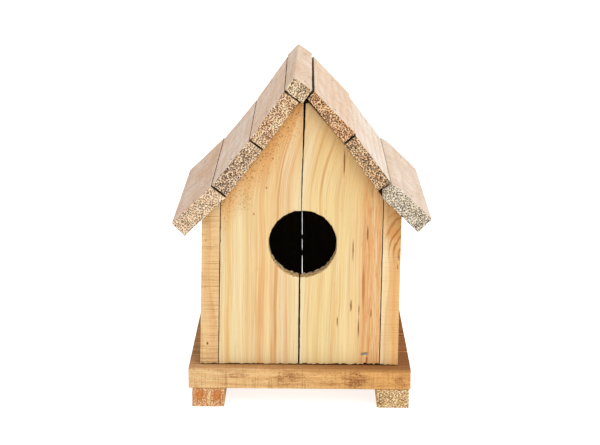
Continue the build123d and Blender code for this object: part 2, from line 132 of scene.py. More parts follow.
class Finish:
    """A finish laid on in coats. Places on a board are millimetres across, through and along the grain."""

    def __init__(self, name, axes, seed):
        self.material = bpy.data.materials.new(name)
        self.material.use_nodes = True
        self.tree = self.material.node_tree
        self.tree.nodes.clear()
        self.shader = self.tree.nodes.new("ShaderNodeBsdfPrincipled")
        self.shader.inputs["Specular IOR Level"].default_value = WOOD_SHINE
        out = self.tree.nodes.new("ShaderNodeOutputMaterial")
        self.tree.links.new(self.shader.outputs[0], out.inputs[0])
        place = self.tree.nodes.new("ShaderNodeTexCoord")
        self.place, self.facing = place.outputs["Object"], place.outputs["Normal"]
        self.across, self.through, self.along = (self.reach(self.place, axis * MM) for axis in axes)
        self.wood = self.join(self.across, self.through, self.math("ADD", self.along, seed * PATTERN_STEP))
        self.end = self.soft(self.math("ABSOLUTE", self.reach(self.facing, axes[2])), 0.55, 0.7)
        self.colour = None
        self.height = 0.0

    def feed(self, socket, value):
        """Links a socket to another one, or sets its number."""
        if isinstance(value, bpy.types.NodeSocket):
            self.tree.links.new(value, socket)
        else:
            socket.default_value = value

    def math(self, how, first, second=0.0, third=0.0):
        """One sum on numbers or sockets."""
        node = self.tree.nodes.new("ShaderNodeMath")
        node.operation = how
        for socket, value in zip(node.inputs, (first, second, third)):
            self.feed(socket, value)
        return node.outputs[0]

    def reach(self, vector, axis):
        """How far a vector goes along an axis."""
        node = self.tree.nodes.new("ShaderNodeVectorMath")
        node.operation = "DOT_PRODUCT"
        self.feed(node.inputs[0], vector)
        node.inputs[1].default_value = axis
        return node.outputs["Value"]

    def join(self, *parts):
        """A vector of three values."""
        node = self.tree.nodes.new("ShaderNodeCombineXYZ")
        for socket, value in zip(node.inputs, parts):
            self.feed(socket, value)
        return node.outputs[0]

    def soft(self, value, low, high, to_low=0.0, to_high=1.0):
        """A value brought from low..high to to_low..to_high, and held there beyond."""
        node = self.tree.nodes.new("ShaderNodeMapRange")
        node.clamp = True
        for socket, number in zip(node.inputs, (value, low, high, to_low, to_high)):
            self.feed(socket, number)
        return node.outputs[0]

    def cloud(self, size, detail=2.0, roughness=0.5, vector=None):
        """Cloudy pattern 0..1 whose blots have that size across, through and along, in millimetres."""
        scaled = self.tree.nodes.new("ShaderNodeVectorMath")
        scaled.operation = "MULTIPLY"
        self.feed(scaled.inputs[0], vector or self.wood)
        scaled.inputs[1].default_value = [1 / s for s in size]
        node = self.tree.nodes.new("ShaderNodeTexNoise")
        self.tree.links.new(scaled.outputs[0], node.inputs["Vector"])
        node.inputs["Scale"].default_value = 1.0
        node.inputs["Detail"].default_value = detail
        node.inputs["Roughness"].default_value = roughness
        return node.outputs[0]

    def pores(self, vector, size, radius):
        """Round dots strewn over a face, one to a cell, some darker than others. The radius is in cells."""
        scaled = self.tree.nodes.new("ShaderNodeVectorMath")
        scaled.operation = "MULTIPLY"
        self.feed(scaled.inputs[0], vector)
        scaled.inputs[1].default_value = [1 / size] * 3
        node = self.tree.nodes.new("ShaderNodeTexVoronoi")
        node.voronoi_dimensions = "2D"
        self.tree.links.new(scaled.outputs[0], node.inputs["Vector"])
        node.inputs["Scale"].default_value = 1.0
        far = self.math("SUBTRACT", node.outputs["Distance"], radius)
        depth = self.math("MULTIPLY_ADD", self.reach(node.outputs["Color"], (1, 0, 0)), 0.5, 0.62)
        return self.times(self.soft(far, -0.05, 0.06, 1.0, 0.0), depth)

    def mix(self, share, first, second, how="MIX"):
        """The first colour with a share of the second one over it."""
        node = self.tree.nodes.new("ShaderNodeMix")
        node.data_type = "RGBA"
        node.blend_type = how
        for index, value in ((0, share), (6, first), (7, second)):
            self.feed(node.inputs[index], value)
        return node.outputs[2]

    def shades(self, value, stops):
        """Colours along a value: (value, colour code) from low to high."""
        low, high = stops[0][0], stops[-1][0]
        node = self.tree.nodes.new("ShaderNodeValToRGB")
        self.feed(node.inputs[0], self.soft(value, low, high))
        marks = node.color_ramp.elements
        for mark, (where, code) in zip((marks[0], marks[1]), (stops[0], stops[-1])):
            mark.position = (where - low) / (high - low)
            mark.color = wood_colour(code)
        for where, code in stops[1:-1]:
            marks.new((where - low) / (high - low)).color = wood_colour(code)
        return node.outputs[0]

    def ground(self, pattern, first, second):
        """The wood's own two shades, under all the coats."""
        self.colour = self.mix(pattern, wood_colour(first), wood_colour(second))

    def coat(self, share, code, how="MIX"):
        """Lays a colour over what is there: a colour code or four numbers."""
        colour = wood_colour(code) if isinstance(code, str) else code
        self.colour = self.mix(share, self.colour, colour, how)

    def relief(self, pattern, depth):
        """Adds to the surface's height, in millimetres."""
        self.height = self.math("MULTIPLY_ADD", pattern, depth, self.height)

    def times(self, *values):
        """The product of all the values."""
        result = values[0]
        for value in values[1:]:
            result = self.math("MULTIPLY", result, value)
        return result

    def far(self, first, second):
        """The length of a step with those two legs."""
        squares = self.math("ADD", self.math("POWER", first, 2), self.math("POWER", second, 2))
        return self.math("SQRT", squares)

    def spot(self, first, second, centre, size, wobble=0.35):
        """An oval patch with an uneven edge."""
        blots = self.cloud([max(0.8, s * 0.5) for s in (size[0], 3.0, size[1])])
        blur = self.math("MULTIPLY_ADD", blots, wobble, 0)
        parts = [
            self.times(self.math("SUBTRACT", value, middle), 1 / half)
            for value, middle, half in zip((first, second), centre, size)
        ]
        far = self.far(*parts)
        return self.soft(self.math("ADD", far, blur), 0.55 + wobble / 2, 1.15 + wobble / 2, 1.0, 0.0)

    def fibres(self, strength=0.16):
        """Fine lengthways grain and short resin ducts."""
        fine = self.cloud((0.7, 0.7, 38), 3, 0.6)
        broad = self.cloud((3.2, 3.2, 120), 2)
        tone = self.math("ADD", self.math("MULTIPLY_ADD", fine, strength, 1 - strength / 2),
                         self.math("MULTIPLY_ADD", broad, strength * 0.8, -strength * 0.4))
        self.colour = self.mix(1.0, self.colour, self.join(tone, tone, tone), "MULTIPLY")
        duct = self.soft(self.cloud((0.9, 0.9, 9), 1), 0.69, 0.78)
        self.coat(self.times(duct, 0.4), "A8713C")
        self.relief(fine, 0.05)

    def rings(self, pith, spacing, late, strength, wander=3.0):
        """Growth rings round a pith at that place across and through, with latewood of that colour."""
        sway = self.cloud((45, 45, 110), 1)
        shift = self.math("MULTIPLY_ADD", sway, wander * 2, -wander)
        radius = self.far(self.math("SUBTRACT", self.math("ADD", self.across, shift), pith[0]),
                          self.math("SUBTRACT", self.through, pith[1]))
        turn = self.math("FRACT", self.times(radius, 1 / spacing))
        ring = self.times(self.soft(turn, 0.35, 0.93), self.soft(turn, 0.93, 1.0, 1.0, 0.0))
        self.coat(self.times(ring, strength), late)

    def saw_marks(self, strength, gap=1.3, dark="8A6244"):
        """Cross lines left by the saw, some deep and most faint."""
        line = self.soft(self.cloud((30, 30, gap), 2, 0.6), 0.5, 0.72)
        patch = self.soft(self.cloud((18, 18, 22), 1), 0.35, 0.65, 0.35, 1.0)
        mark = self.times(line, patch, self.math("SUBTRACT", 1.0, self.end))
        self.coat(self.times(mark, strength), dark)
        self.relief(mark, -0.09)

    def sawn_end(self, shade, dots, dark, amount=0.5, size=1.15):
        """Rough end grain: dark torn pores, thick in some places and thin in others, and pale flecks."""
        plot = self.join(self.across, self.through, self.times(self.along, 0.02))
        turned = self.join(self.through, self.across, 3.1)
        blots = self.soft(self.cloud((9, 6, 9), 2, vector=plot), 0.35, 0.65)
        base = self.mix(blots, *map(wood_colour, shade))
        crowd = self.soft(self.cloud((7, 6, 7), 2, vector=plot), 0.3, 0.7, -0.12, 0.12)
        reach = self.math("ADD", crowd, 0.16 + 0.38 * amount)
        ragged = [
            self.math("MULTIPLY_ADD", self.cloud((0.8, 0.8, 0.8), 1, vector=other), 0.8, value)
            for other, value in ((plot, self.across), (turned, self.through))
        ]
        pore = self.pores(self.join(*ragged, 0.0), size, reach)
        light = self.pores(turned, size * 0.9, 0.3)
        coat = self.mix(self.times(light, 0.75), base, wood_colour("FDEFD6"))
        coat = self.mix(self.times(pore, dots), coat, wood_colour(dark))
        self.colour = self.mix(self.end, self.colour, coat)
        self.relief(self.times(pore, self.end), -0.25)
        self.relief(self.times(self.cloud((3, 3, 3), 3), self.end), 0.12)

    def close(self, low=0.62, high=0.85):
        """Connects the coats to the shader, with a roughness between low and high."""
        self.feed(self.shader.inputs["Base Color"], self.colour)
        rough = self.soft(self.cloud((2.5, 2.5, 14), 2), 0.3, 0.7, low, high)
        self.feed(self.shader.inputs["Roughness"], rough)
        bump = self.tree.nodes.new("ShaderNodeBump")
        bump.inputs["Strength"].default_value = 1.0
        bump.inputs["Distance"].default_value = 1 / MM
        self.feed(bump.inputs["Height"], self.height)
        self.tree.links.new(bump.outputs[0], self.shader.inputs["Normal"])
        return self.material


# Tree for all the boards: it wears the arrises, waves the faces a little and never adds wood.
ALONG_GRAIN = 0.72          # this share of a length along the grain is taken out of the wear's pattern
ARRIS_ANGLE = 0.35          # radians between faces from which an edge is worn
CHIP_SCALE, CRUMB_SCALE, WAVE_SCALE = 260.0, 900.0, 45.0
MERGE_WITHIN, CUT_WITHIN = 1e-6, 1e-7           # metres
FLAT_WITHIN = 0.3                               # degrees
wear = bpy.data.node_groups.new("worn_board", "GeometryNodeTree")
wear_in, wear_out = wear.nodes.new("NodeGroupInput"), wear.nodes.new("NodeGroupOutput")
socket_ids = {}
for label, kind in (("Board", "Geometry"), ("Seed", "Float"), ("Edge wear", "Float"), ("Face wave", "Float"),
                    ("Grain", "Vector"), ("Finish", "Material")):
    socket = wear.interface.new_socket(label, in_out="INPUT", socket_type=f"NodeSocket{kind}")
    socket_ids[label] = socket.identifier
wear.interface.new_socket("Board", in_out="OUTPUT", socket_type="NodeSocketGeometry")


def wear_node(kind, inputs=(), output=0, **settings):
    """One node of the tree, with its settings, its links and its numbers."""
    node = wear.nodes.new(kind)
    for name, value in settings.items():
        setattr(node, name, value)
    for index, value in inputs:
        if isinstance(value, bpy.types.NodeSocket):
            wear.links.new(value, node.inputs[index])
        else:
            node.inputs[index].default_value = value
    return node.outputs[output]


def wear_math(how, first, second=0.0):
    return wear_node("ShaderNodeMath", ((0, first), (1, second)), operation=how)


def wear_scale(vector, factor):
    return wear_node("ShaderNodeVectorMath", ((0, vector), ("Scale", factor)), operation="SCALE")


def wear_noise(vector, scale, detail=1.0):
    inputs = ((0, vector), (1, wear_in.outputs["Seed"]), (2, scale), (3, detail))
    return wear_node("ShaderNodeTexNoise", inputs, noise_dimensions="4D")


place = wear_node("GeometryNodeInputPosition")
grain = wear_in.outputs["Grain"]
lengthways = wear_node("ShaderNodeVectorMath", ((0, place), (1, grain)), "Value", operation="DOT_PRODUCT")
shorten = wear_scale(grain, wear_math("MULTIPLY", lengthways, -ALONG_GRAIN))
stretched = wear_node("ShaderNodeVectorMath", ((0, place), (1, shorten)), operation="ADD")
corner = wear_math("GREATER_THAN", wear_node("GeometryNodeInputMeshEdgeAngle"), ARRIS_ANGLE)
corner = wear_math("MINIMUM", wear_math("MULTIPLY", corner, 4.0), 1.0)
chips = wear_math("ADD", wear_math("MULTIPLY", wear_noise(stretched, CHIP_SCALE, 2.0), 0.9),
                  wear_math("MULTIPLY", wear_noise(stretched, CRUMB_SCALE), 0.7))
chips = wear_math("POWER", wear_math("MAXIMUM", wear_math("SUBTRACT", chips, 0.35), 0.0), 1.4)
worn = wear_math("MULTIPLY", wear_math("MULTIPLY", corner, chips), wear_in.outputs["Edge wear"])
waved = wear_math("MULTIPLY", wear_noise(stretched, WAVE_SCALE, 2.0), wear_in.outputs["Face wave"])
depth = wear_math("ADD", worn, waved)
inward = wear_scale(wear_node("GeometryNodeInputNormal"), wear_math("MULTIPLY", depth, -1.0))
moved = wear_node("GeometryNodeSetPosition", (("Geometry", wear_in.outputs["Board"]), ("Offset", inward)))
real = wear_node("GeometryNodeRealizeInstances", ((0, moved),))
finished = wear_node("GeometryNodeSetMaterial", (("Geometry", real), ("Material", wear_in.outputs["Finish"])))
wear.links.new(finished, wear_out.inputs[0])


def plain_mesh(piece):
    """Turns a piece's modifiers into its own mesh."""
    graph = bpy.context.evaluated_depsgraph_get()
    evaluated = piece.evaluated_get(graph)
    made = bpy.data.meshes.new_from_object(evaluated, preserve_all_data_layers=True, depsgraph=graph)
    piece.modifiers.clear()
    piece.data = made
    made.polygons.foreach_set("use_smooth", [True] * len(made.polygons))
    made.set_sharp_from_angle(angle=radians(SHARP_EDGE))
    made.update()


def worn_board(node, finish, axes, cell, edge_wear, seed, face_wave=FACE_WAVE, shape=None):
    """The board that stands for a CAD node: a merged copy cut into small faces, shaped, worn and finished."""
    board = bmesh.new()
    board.from_mesh(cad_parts[node].data)
    bmesh.ops.remove_doubles(board, verts=board.verts, dist=MERGE_WITHIN)
    bmesh.ops.dissolve_limit(board, angle_limit=radians(FLAT_WITHIN), verts=board.verts, edges=board.edges)
    for axis, size in zip(axes, cell):
        reaches = [v.co.dot(axis) for v in board.verts]
        low, high = min(reaches), max(reaches)
        cuts = max(1, round((high - low) / size))
        for i in range(1, cuts):
            at = axis * (low + (high - low) * i / cuts)
            parts = board.verts[:] + board.edges[:] + board.faces[:]
            bmesh.ops.bisect_plane(board, geom=parts, dist=CUT_WITHIN, plane_co=at, plane_no=axis)
    if shape:
        for vertex in board.verts:
            vertex.co = shape(vertex.co * MM) / MM
    mesh = bpy.data.meshes.new(f"{node}_wood")
    board.to_mesh(mesh)
    board.free()
    piece = bpy.data.objects.new(f"{node}_wood", mesh)
    scene.collection.objects.link(piece)
    wearing = piece.modifiers.new("wear", "NODES")
    wearing.node_group = wear
    for label, value in (("Seed", float(seed)), ("Edge wear", edge_wear), ("Face wave", face_wave),
                         ("Grain", axes[2]), ("Finish", finish)):
        wearing[socket_ids[label]] = value
    plain_mesh(piece)
    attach(piece, "root")
    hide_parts(node)


RUNNER_CELL = (0.0023, 0.0023, 0.004)
RUNNER_WEAR = 0.0005
HEART_SPREAD, HEART_HEIGHT = 6.3, 8.5           # the two orange blots from the stick's middle and its foot
PITH_OFF, PITH_HEIGHT = 0.8, 6                  # the pale pith between them


def runner_finish(name, seed, pale, warm, end_shades, dots):
    """Rough pine with its own sawn end: two shades, and how dark the pores are, their colour and how many."""
    finish = Finish(name, GRAIN_Y, seed)
    finish.ground(finish.cloud((8, 8, 60)), pale, warm)
    finish.fibres()
    finish.saw_marks(0.35)
    finish.sawn_end(end_shades, *dots)
    return finish


heart = runner_finish("runner_heartwood", 1, "DCAE74", "CF9458", ("E6B070", "DE9C56"), (0.75, "8A4A20", 0.45))
heart_low, heart_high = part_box("runner_left")
heart_middle = (heart_low.x + heart_high.x) * MM / 2
for side in (-1, 1):
    blot_place = (heart_middle + side * HEART_SPREAD, HEART_HEIGHT)
    blot = heart.spot(heart.across, heart.through, blot_place, (4.2, 5.2), 0.8)
    heart.coat(heart.times(blot, heart.end, 0.75), "C8742A")
ring_course = heart.math("MULTIPLY_ADD", heart.cloud((5, 5, 5)), 9.0, heart.times(heart.across, 1.9))
rays = heart.soft(heart.math("SINE", ring_course), 0.3, 0.9)
heart.coat(heart.times(rays, heart.end, 0.6), "B4652A")
pith = heart.spot(heart.across, heart.through, (heart_middle + PITH_OFF, PITH_HEIGHT), (1.0, 7.5), 0.3)
heart.coat(heart.times(pith, heart.end, 0.7), "F0CB92")
worn_board("runner_left", heart.close(), GRAIN_Y, RUNNER_CELL, RUNNER_WEAR, 1)
sap = runner_finish("runner_sapwood", 2, "E0B67C", "D6A263", ("EACA8A", "DEB474"), (0.95, "86592C", 0.62))
worn_board("runner_right", sap.close(), GRAIN_Y, RUNNER_CELL, RUNNER_WEAR, 2)


# Base slats: four rough slats side by side across both runners, nailed down at each runner. They are browner
# than the walls, and their tops carry painted shade from the house; the front one's long edge has two knots.
BASE_CELL = (0.0025, 0.0025, 0.0035)
BASE_WEAR = 0.0005
BASE_SHINE = 0.08
BASE_FRONT_LIFT = [1.11, 1.19, 1.2, 1]                # lifts the faces that do not face up, so they stay lighter than the painted-shade tops
# colours from the left end to the right one
BASE_COURSE = ((-81, "DDB483"), (-40, "DDB27C"), (0, "DBAA70"), (40, "D59E60"), (80, "D39657"))
TOP_SHADE_COLOURS = ((0.3, "64381A"), (0.44, "925A2C"), (0.58, "B0783E"), (0.74, "D2A470"))
SHADE_FADE_STRIP = (-84.6, -82.4)                      # the painted shade on the tops fades over these, towards the front edge
# the knots and patches on the front slat: height, place along it, half height, half width and depth of tone
BASE_KNOTS = ((21.5, 40.0, 6.5, 9.0, 0.95), (22.0, -9.0, 6.0, 10.0, 0.7), (21.0, 70.5, 3.0, 3.5, 0.7),
              (24.0, -45.0, 2.5, 7.0, 0.5), (18.0, 22.0, 2.0, 9.0, 0.4), (17.0, 74.6, 2.6, 0.6, 0.8))
for i in range(1, 5):
    base = Finish(f"base_pine_{i}", GRAIN_X, 10 + i)
    base.colour = base.shades(base.along, BASE_COURSE)
    cloudy = base.cloud((6, 6, 40), 3)
    base.coat(base.soft(cloudy, 0.5, 0.75, 0.0, 0.45), "C98F56")
    base.rings((-20 + 9 * i, -26), 2.6, "B9783F", 0.3, 4.0)
    base.fibres(0.34)
    top = base.soft(base.reach(base.facing, Z), 0.6, 0.85)
    paler_left = base.soft(base.along, -75, 75, 0.24, -0.07)
    streak = base.math("ADD", base.cloud((1.3, 1.3, 45), 3, 0.65), paler_left)
    # Painted shade: the tops take darker colours, lighter on the left, as in the house's shade.
    house_shade = base.soft(base.across, *SHADE_FADE_STRIP, 0.3, 0.92)
    base.colour = base.mix(base.times(top, house_shade), base.colour, base.shades(streak, TOP_SHADE_COLOURS))
    base.shader.inputs["Specular IOR Level"].default_value = BASE_SHINE
    checks = base.soft(base.cloud((0.9, 0.9, 34), 2, 0.6), 0.55, 0.62)
    base.coat(base.times(checks, top, house_shade, 0.7), "4A2812")
    lines = base.soft(base.cloud((0.55, 0.55, 26), 2, 0.6), 0.54, 0.66)
    base.coat(base.times(lines, 0.5), "8E5A30")
    blur = base.soft(base.cloud((2.4, 2.4, 9), 3, 0.65), 0.5, 0.7)
    base.coat(base.times(blur, 0.5), "A87444")
    base.saw_marks(0.6, 1.0, "8A5830")
    if i == 1:
        for height, where, tall, wide, deep in BASE_KNOTS:
            patch = base.spot(base.through, base.along, (height, where), (tall, wide), 1.6)
            base.coat(base.times(patch, deep, 0.5), "A8683A")
            torn = base.soft(base.cloud((1.2, 1.2, 5.0), 3, 0.65), 0.46, 0.62)
            base.coat(base.times(patch, torn, deep, 0.8), "7A4420")
            flecks = base.soft(base.cloud((0.7, 0.7, 0.9), 1), 0.6, 0.66)
            base.coat(base.times(patch, flecks, deep), "3E2210")
        # Painted shade: a dark line along the front slat's upper edge, running onto its top.
        upper_edge_shade = base.soft(base.through, 26.4, 28.2)
        base.coat(base.times(upper_edge_shade, base.soft(base.along, -30, 60, 0.2, 0.75)), "8E5C34")
    front = base.math("SUBTRACT", 1.0, top)
    speck = base.soft(base.cloud((0.8, 0.8, 1.5), 2), 0.60, 0.68)
    base.coat(base.times(speck, front, 0.7), "7A4A26")
    # The faces that do not face up are lifted against the painted-shade tops.
    base.coat(front, BASE_FRONT_LIFT, "MULTIPLY")
    base.sawn_end(("DCAF78", "CE9A60"), 0.55, "7A4C28", 0.4)
    worn_board(f"base_slat_{i}", base.close(), GRAIN_X, BASE_CELL, BASE_WEAR, 10 + i)


# Floor: three rough slats inside the walls, of the same pine as the base. They lie on the base slats, close
# the box from below and take the nails of the walls.
FLOOR_CELL = (0.004, 0.004, 0.006)
FLOOR_WEAR = 0.0004
PLAIN_PORES = (0.6, "7A5030")                   # how dark a plain sawn end's pores are, and their colour
for i, name in enumerate(("front", "middle", "rear")):
    inner = Finish(f"floor_pine_{name}", GRAIN_X, 20 + i)
    inner.ground(inner.cloud((9, 9, 60)), "D9B078", "C99A62")
    inner.rings((-15, -22), 3.0, "B98348", 0.4)
    inner.fibres()
    inner.saw_marks(0.4)
    inner.sawn_end(("D8AE78", "CC9C64"), *PLAIN_PORES)
    worn_board(f"floor_slat_{name}", inner.close(), GRAIN_X, FLOOR_CELL, FLOOR_WEAR, 20 + i)


# Side walls: three upright boards on each side, butted edge to edge and nailed to the floor and to the front
# and back walls. The foremost show a sawn edge, with resin spots on the left and a knot's swirl on the right.
GRAIN_SIDE = (Y, X, Z)
SIDE_CELL = (0.0035, 0.0020, 0.0030)
SIDE_WEAR = 0.00055
SIDE_TINT = [0.97, 1.04, 1.09, 1]
CHIP_DEPTH = 1.1
ON_EDGE = 0.03              # a point this near an edge lies on it
# colours through the left boards and through the right ones, from left to right
LEFT_EDGE = ((-73, "EBC58E"), (-69, "E9BD84"), (-64, "E8B97F"), (-58, "EFC994"))
RIGHT_EDGE = (
    (57, "F7E0B4"), (60.5, "F3D39E"), (63, "F0C88E"), (65.5, "E2A461"), (68, "E6AC6A"), (71, "F0C68C"))
# spots and dashes: place through and up, half width and half height, depth of tone
LEFT_SPOTS = (
    ((-67.3, 45.0), (0.8, 1.3), 0.9), ((-71.2, 131.0), (0.6, 0.7), 0.7), ((-68.0, 121.5), (0.5, 1.0), 0.6))
RIGHT_DASHES = (((69.2, 110.5), (0.5, 2.6), 0.75), ((68.6, 103.0), (0.5, 2.2), 0.75))
KNOT_THROUGH, KNOT_HEIGHT, KNOT_SQUASH = 75, 113, 0.62      # the swirl's middle, just outside the board


def chip_foot(place, foot, deep):
    """Breaks small chips out of a sawn foot at that height."""
    if abs(place.z - foot) < ON_EDGE:
        wide_chip = noise.noise(Vector((place.x * 0.55, 0.3, 7.0)))
        small_chip = 0.7 * noise.noise(Vector((place.x * 1.4, 0.3, 2.0)))
        place.z += max(0.0, 0.35 + (wide_chip + small_chip)) * deep


def side_shape(foot):
    """Only the chipped foot."""
    def shape(place):
        chip_foot(place, foot, CHIP_DEPTH)
        return place
    return shape


def side_tone(side_pine, side):
    """The wood's own colour: even tan on the left; paler inside and orange outside and above on the right."""
    if side < 0:
        side_pine.colour = side_pine.shades(side_pine.through, LEFT_EDGE)
        return
    sway = side_pine.math("MULTIPLY_ADD", side_pine.cloud((20, 20, 35)), 6, -3)
    side_pine.colour = side_pine.shades(side_pine.math("ADD", side_pine.through, sway), RIGHT_EDGE)
    side_pine.coat(side_pine.soft(side_pine.along, 112, 140, 0.0, 0.75), "DE9D58")


def side_marks(side_pine, marks, code):
    """Small dark spots on a sawn edge."""
    for where, size, deep in marks:
        mark = side_pine.spot(side_pine.through, side_pine.along, where, size, 0.3)
        side_pine.coat(side_pine.times(mark, deep), code)


def knot_swirl(side_pine):
    """Arcs that bend round a knot, over an orange burl."""
    swirl = side_pine.spot(side_pine.through, side_pine.along, (68, 126), (9, 19), 0.3)
    rise = side_pine.math("MULTIPLY_ADD", side_pine.along, KNOT_SQUASH, -KNOT_SQUASH * KNOT_HEIGHT)
    far = side_pine.far(side_pine.math("SUBTRACT", side_pine.through, KNOT_THROUGH), rise)
    curl = side_pine.math("ADD", far, side_pine.times(side_pine.cloud((8, 8, 14)), 5))
    arcs = side_pine.soft(side_pine.math("SINE", side_pine.times(curl, 1.7)), 0.1, 0.95)
    burl = side_pine.spot(side_pine.through, side_pine.along, (66.5, 127.5), (7.5, 5.0), 0.7)
    side_pine.coat(side_pine.times(burl, 0.6), "D8904A")
    side_pine.coat(side_pine.times(arcs, swirl, 0.8), "AA6830")


for side, wall in ((-1, "left"), (1, "right")):
    for i, name in enumerate(("front", "middle", "rear")):
        seed = 30 + 3 * side + i
        side_pine = Finish(f"side_pine_{wall}_{name}", GRAIN_SIDE, seed)
        side_tone(side_pine, side)
        side_pine.coat(side_pine.soft(side_pine.cloud((9, 9, 80), 2), 0.45, 0.7, 0.0, 0.5), "E3AC6E")
        side_pine.rings((-6 + 11 * i, side * 96), 3.4, "D29254", 0.45, 5.0)
        side_pine.fibres()
        if name == "front" and side > 0:
            knot_swirl(side_pine)
            side_marks(side_pine, RIGHT_DASHES, "7A4A24")
        elif name == "front":
            side_marks(side_pine, LEFT_SPOTS, "5A3418")
        side_pine.coat(1.0, SIDE_TINT, "MULTIPLY")
        turned_to_y = side_pine.math("ABSOLUTE", side_pine.reach(side_pine.facing, Y))
        edge = side_pine.soft(turned_to_y, 0.5, 0.8, 0.5, 1.0)
        side_pine.saw_marks(side_pine.times(edge, 0.85 if side < 0 else 0.3), 0.9, "9A6638")
        mottle = side_pine.soft(side_pine.cloud((0.9, 0.9, 1.4), 2), 0.58, 0.68)
        side_pine.coat(side_pine.times(mottle, 0.35 if side < 0 else 0.12), "8A5A30")
        side_pine.sawn_end(("DDB47E", "CF9F66"), *PLAIN_PORES)
        node = f"side_{wall}_{name}"
        shape = side_shape(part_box(node)[0].z * MM)
        worn_board(node, side_pine.close(), GRAIN_SIDE, SIDE_CELL, SIDE_WEAR, seed, shape=shape)


# Front wall: two planed boards that meet in an open joint, with the entrance hole bored through both. Broad
# orange summerwood streaks run up them and bend towards the gable; the bored rim is torn and browner.
GRAIN_FRONT = (X, Y, Z)
FRONT_CELL = (0.0016, 0.0032, 0.0016)
FRONT_WEAR = 0.0006
PLANED_WAVE = 0.00008
FRONT_TINT = [0.86, 0.875, 0.87, 1]
HOLE_X, HOLE_Z, HOLE_R = 0.8, 119.3, 24.1
GABLE_BEND, BEND_FROM, BEND_OVER = 11.0, 150.0, 54.0
# the streaks' places across each board, with their colours
LEFT_STREAKS = (
    (-61, "F7DFAE"), (-55, "F4D79F"), (-53, "EDC07C"), (-51.5, "EEC281"), (-50, "F4D8A0"), (-44, "F6DEAA"),
    (-40, "F3D398"), (-38.6, "EBBF80"), (-37.4, "F4D69D"), (-35.5, "EDC488"), (-33.5, "F1CE92"),
    (-31, "EEBB7C"), (-28.5, "E8AC6E"), (-26.5, "F1C88C"), (-23.5, "F4D49C"), (-20.8, "ECBA7C"),
    (-18.0, "DA9C5E"), (-17.0, "F3D29C"), (-13, "F3D1A4"), (-10.6, "E9BA84"), (-9.4, "F1CC96"),
    (-6, "F5D9A6"), (-1, "F9E6BA"))
RIGHT_STREAKS = (
    (0, "F9E6BA"), (3, "F6DAA0"), (5, "EFC686"), (6.6, "F6D89C"), (11, "F6D797"), (12.3, "E9BA76"),
    (13.4, "F6D797"), (20, "F7DA9C"), (24.0, "EBC07C"), (24.9, "F6D696"), (32, "F6D798"), (36, "F5D194"),
    (41, "F3CC8E"), (43, "EFBC7E"), (44.8, "E09A58"), (46.6, "F0BC7C"), (48.6, "E8A862"), (50.5, "F4C98C"),
    (54, "ECB172"), (58, "F1BE84"), (60, "F4CA94"))
# fine streaks on both boards: size of their pattern, from and to where they start, depth of tone and colour
FINE_STREAKS = (((1.1, 9, 90), 0.5, 0.68, 0.38, "E2A765"), ((0.6, 9, 60), 0.55, 0.68, 0.4, "D6975A"),
                ((0.7, 9, 70), 0.52, 0.68, 0.45, "FFECC4"))
# faint arches under the right gable: height, place across, half width, half height, depth of tone
ARCHES = ((175, 12.6, 1.1, 24, 0.34), (186, 5.2, 0.9, 24, 0.26))
# dark dashes on the right board: across, up, half their width and height
RESIN_DASHES = ((36.6, 115, 0.55, 6.5), (35.7, 74, 0.75, 4), (41.3, 57.5, 0.65, 6), (26.0, 62, 0.5, 3.2),
                (46.8, 127.5, 0.8, 5), (50.2, 68, 0.5, 3), (41.4, 71, 0.5, 3.4), (29.6, 178, 0.7, 8))
# more marks: across and up, half width and half height
FLAME = (44.4, 89), (1.1, 16)
RUST = (47.6, 33.6), (1.0, 3.0)
DOT_CLUSTER = (-40, 149.5), (6.5, 7.5)
SINGLE_DOTS = ((-25, 160), (-20.5, 181), (-34, 141))
# how far each board stands from the middle of the joint at a height: tight over the hole, open at both ends
FRONT_JOINT, FRONT_LEAN, FRONT_HALF = -1.4, 0.9, 0.5
FRONT_OPENING = ((29, 0.50), (60, 0.58), (95, 0.45), (143, 0.30), (185, 0.28), (203, 0.50), (219, 0.70))
FRONT_SWAY = ((29, 0.0), (95, -0.9), (145, -0.9), (215, -0.1))     # the joint's bend to the left
DECK_Z, FOOT_Z = 29.2, 29.7
FRONT_FACE_Y, FRONT_BACK_Y = -83.8, -71.1
ROUNDED_OVER = 4.0          # the bore's rounding dies out this far from its rim
LEFT_CHIPS, RIGHT_CHIPS = 0.7, 1.25
TORN_DEPTH, TORN_LIMIT, NICK_DEPTH = 7.0, 6.5, 0.7      # the rim's torn inner edge and its nicked outer one
ON_FACE, ON_RIM = 0.05, 0.2                     # a point this near the face or the rim lies on it
ON_BORE = 0.02                                  # the same for the bore's own corners
NO_SWAY = ((0, 0.0), (300, 0.0))
# painted shade: near black on the walls' inner faces, so that the chamber reads black through the entrance
# hole
BORE_SHADES = ((0.35, "96703E"), (0.5, "CCA468"), (0.65, "F4D8A8"))
INSIDE_PAINTED_SHADE = "0C0806"


def between(value, stops):
    """A number read off stops of (value, number)."""
    for (low, first), (high, second) in zip(stops, stops[1:]):
        if value <= high:
            return first + (second - first) * max(0.0, value - low) / (high - low)
    return stops[-1][1]


def joint_shape(place, middle, lean, half, opening, ragged, sway=NO_SWAY):
    """Moves the points of an open joint's two edges to its uneven opening and course."""
    centre = middle + tan(radians(lean)) * (place.z - DECK_Z)
    off = place.x - centre
    if abs(abs(off) - half) < ON_EDGE:
        rough = ragged * noise.noise(Vector((place.z * 0.22, 3.0 * (off > 0), place.y * 0.1)))
        aside = between(place.z, opening) + rough
        place.x = centre + between(place.z, sway) + (aside if off > 0 else -aside)


def rim_angle(place, side):
    """Angle round the hole from its lowest point, over the half that the board on that side has."""
    angle = atan2(side * (place.x - HOLE_X), HOLE_Z - place.z)
    return angle + 2 * pi if angle < -pi / 2 else angle


